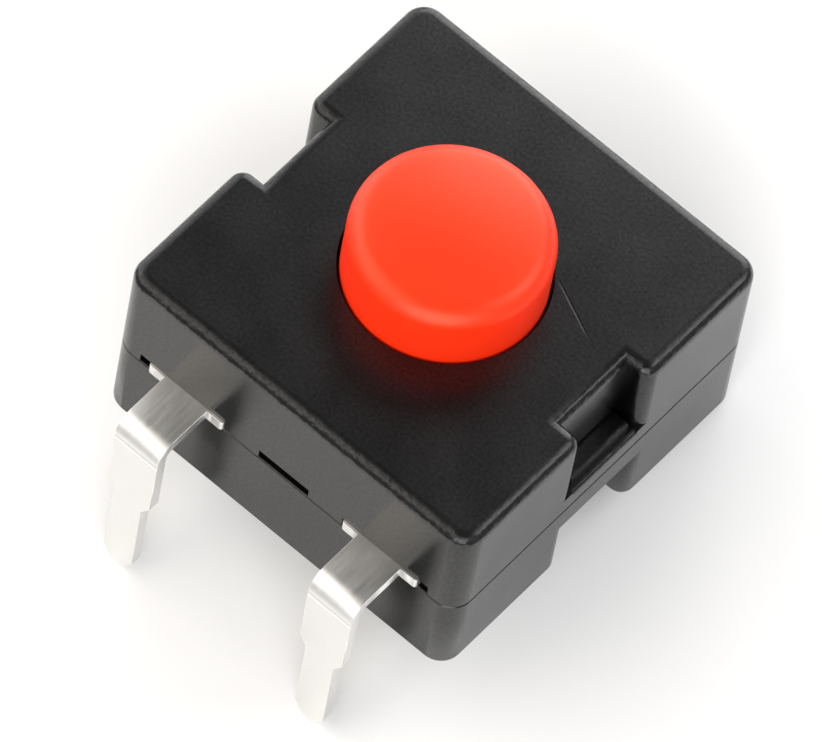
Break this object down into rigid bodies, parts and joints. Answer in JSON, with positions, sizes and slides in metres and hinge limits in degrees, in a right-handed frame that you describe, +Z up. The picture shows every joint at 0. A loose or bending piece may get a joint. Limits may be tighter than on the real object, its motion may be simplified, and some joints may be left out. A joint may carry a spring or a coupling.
{
  "type": "self locking push switch",
  "caption": "Square self-locking push switch with a round orange button, a snap-fit black housing and bent flat solder pins along one side.",
  "frame": {"origin": "centre of the housing's flat underside, which sits on the circuit board", "axes": "+Z up the button's line of travel, -Y out of the wall that both terminals leave by, +X to the right seen from in front of that wall"},
  "size_m": [0.012, 0.014, 0.0121],
  "materials": {
    "cover_plastic": "moulded, fine matte",
    "base_plastic": "moulded, fine matte",
    "button_plastic": "moulded, satin",
    "rotor_plastic": "moulded acetal",
    "spring_steel": "drawn wire",
    "bridge_bronze": "stamped strip",
    "contact_silver": "headed silver alloy",
    "tinned_brass": "bright tin plate"
  },
  "bodies": {
    "housing": {"base": "base_plastic", "cover": "cover_plastic", "terminal_left": "tinned_brass", "terminal_right": "tinned_brass", "fixed_contact_left": "contact_silver", "fixed_contact_right": "contact_silver", "return_spring": "spring_steel"},
    "button": {"button": "button_plastic"},
    "rotor": {"rotor": "rotor_plastic"},
    "contact_bridge": {"contact_bridge": "bridge_bronze", "moving_contact_left": "contact_silver", "moving_contact_right": "contact_silver", "contact_spring": "spring_steel"}
  },
  "joints": [
    {"name": "button_press", "type": "slide", "parent": "housing", "child": "button", "axis": [0, 0, -1], "range_m": [0, 0.0018], "stiffness_N_per_m": 800, "springref_m": -0.0006, "deforming": ["return_spring", "contact_spring"]},
    {"name": "rotor_step", "type": "hinge", "parent": "button", "child": "rotor", "pos_m": [0, 0, 0.0045], "axis": [0, 0, 1], "range_deg": [0, 19]},
    {"name": "contact_close", "type": "slide", "parent": "housing", "child": "contact_bridge", "axis": [0, 0, -1], "range_m": [0, 0.0008]}
  ],
  "couplings": [
    {"joint": "rotor_step", "follows": "button_press", "rad_per_m": 184.2},
    {"joint": "contact_close", "follows": "button_press", "ratio": 0.4444}
  ]
}
